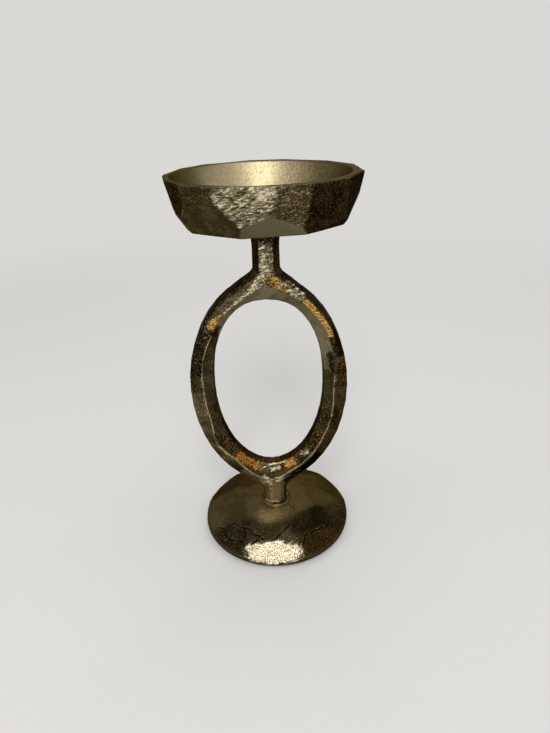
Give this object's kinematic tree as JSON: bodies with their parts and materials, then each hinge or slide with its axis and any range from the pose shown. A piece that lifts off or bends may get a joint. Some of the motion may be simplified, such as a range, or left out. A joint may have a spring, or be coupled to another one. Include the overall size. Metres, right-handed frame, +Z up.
{
  "type": "candle holder",
  "caption": "Pedestal holder for a pillar candle: a shallow faceted cast bowl on an open oval ring stem and a low domed round foot, in dark antique-brass finish.",
  "frame": {"origin": "centre of the foot, on the surface that the holder stands on", "axes": "+Z up through the foot, ring and bowl; the ring faces -Y, so its opening runs through along Y; +X to the right seen from the front"},
  "size_m": [0.0979, 0.0973, 0.22],
  "materials": {
    "bowl_casting": "rough casting in dark antique brass, smooth and paler inside",
    "ring_casting": "rough casting in dark antique brass, bright on worn edges",
    "base_casting": "satin casting in dark antique brass",
    "screw_steel": "yellow zinc plated",
    "bolt_steel": "zinc plated",
    "washer_steel": "zinc plated",
    "lock_washer_steel": "spring steel, oiled",
    "felt": "pressed felt"
  },
  "bodies": {
    "root": {"candle_bowl": "bowl_casting", "bowl_screw": "screw_steel", "ring_stem": "ring_casting", "base": "base_casting", "base_bolt": "bolt_steel", "flat_washer": "washer_steel", "lock_washer": "lock_washer_steel", "felt_pad_1": "felt", "felt_pad_2": "felt", "felt_pad_3": "felt", "felt_pad_4": "felt"}
  },
  "joints": []
}
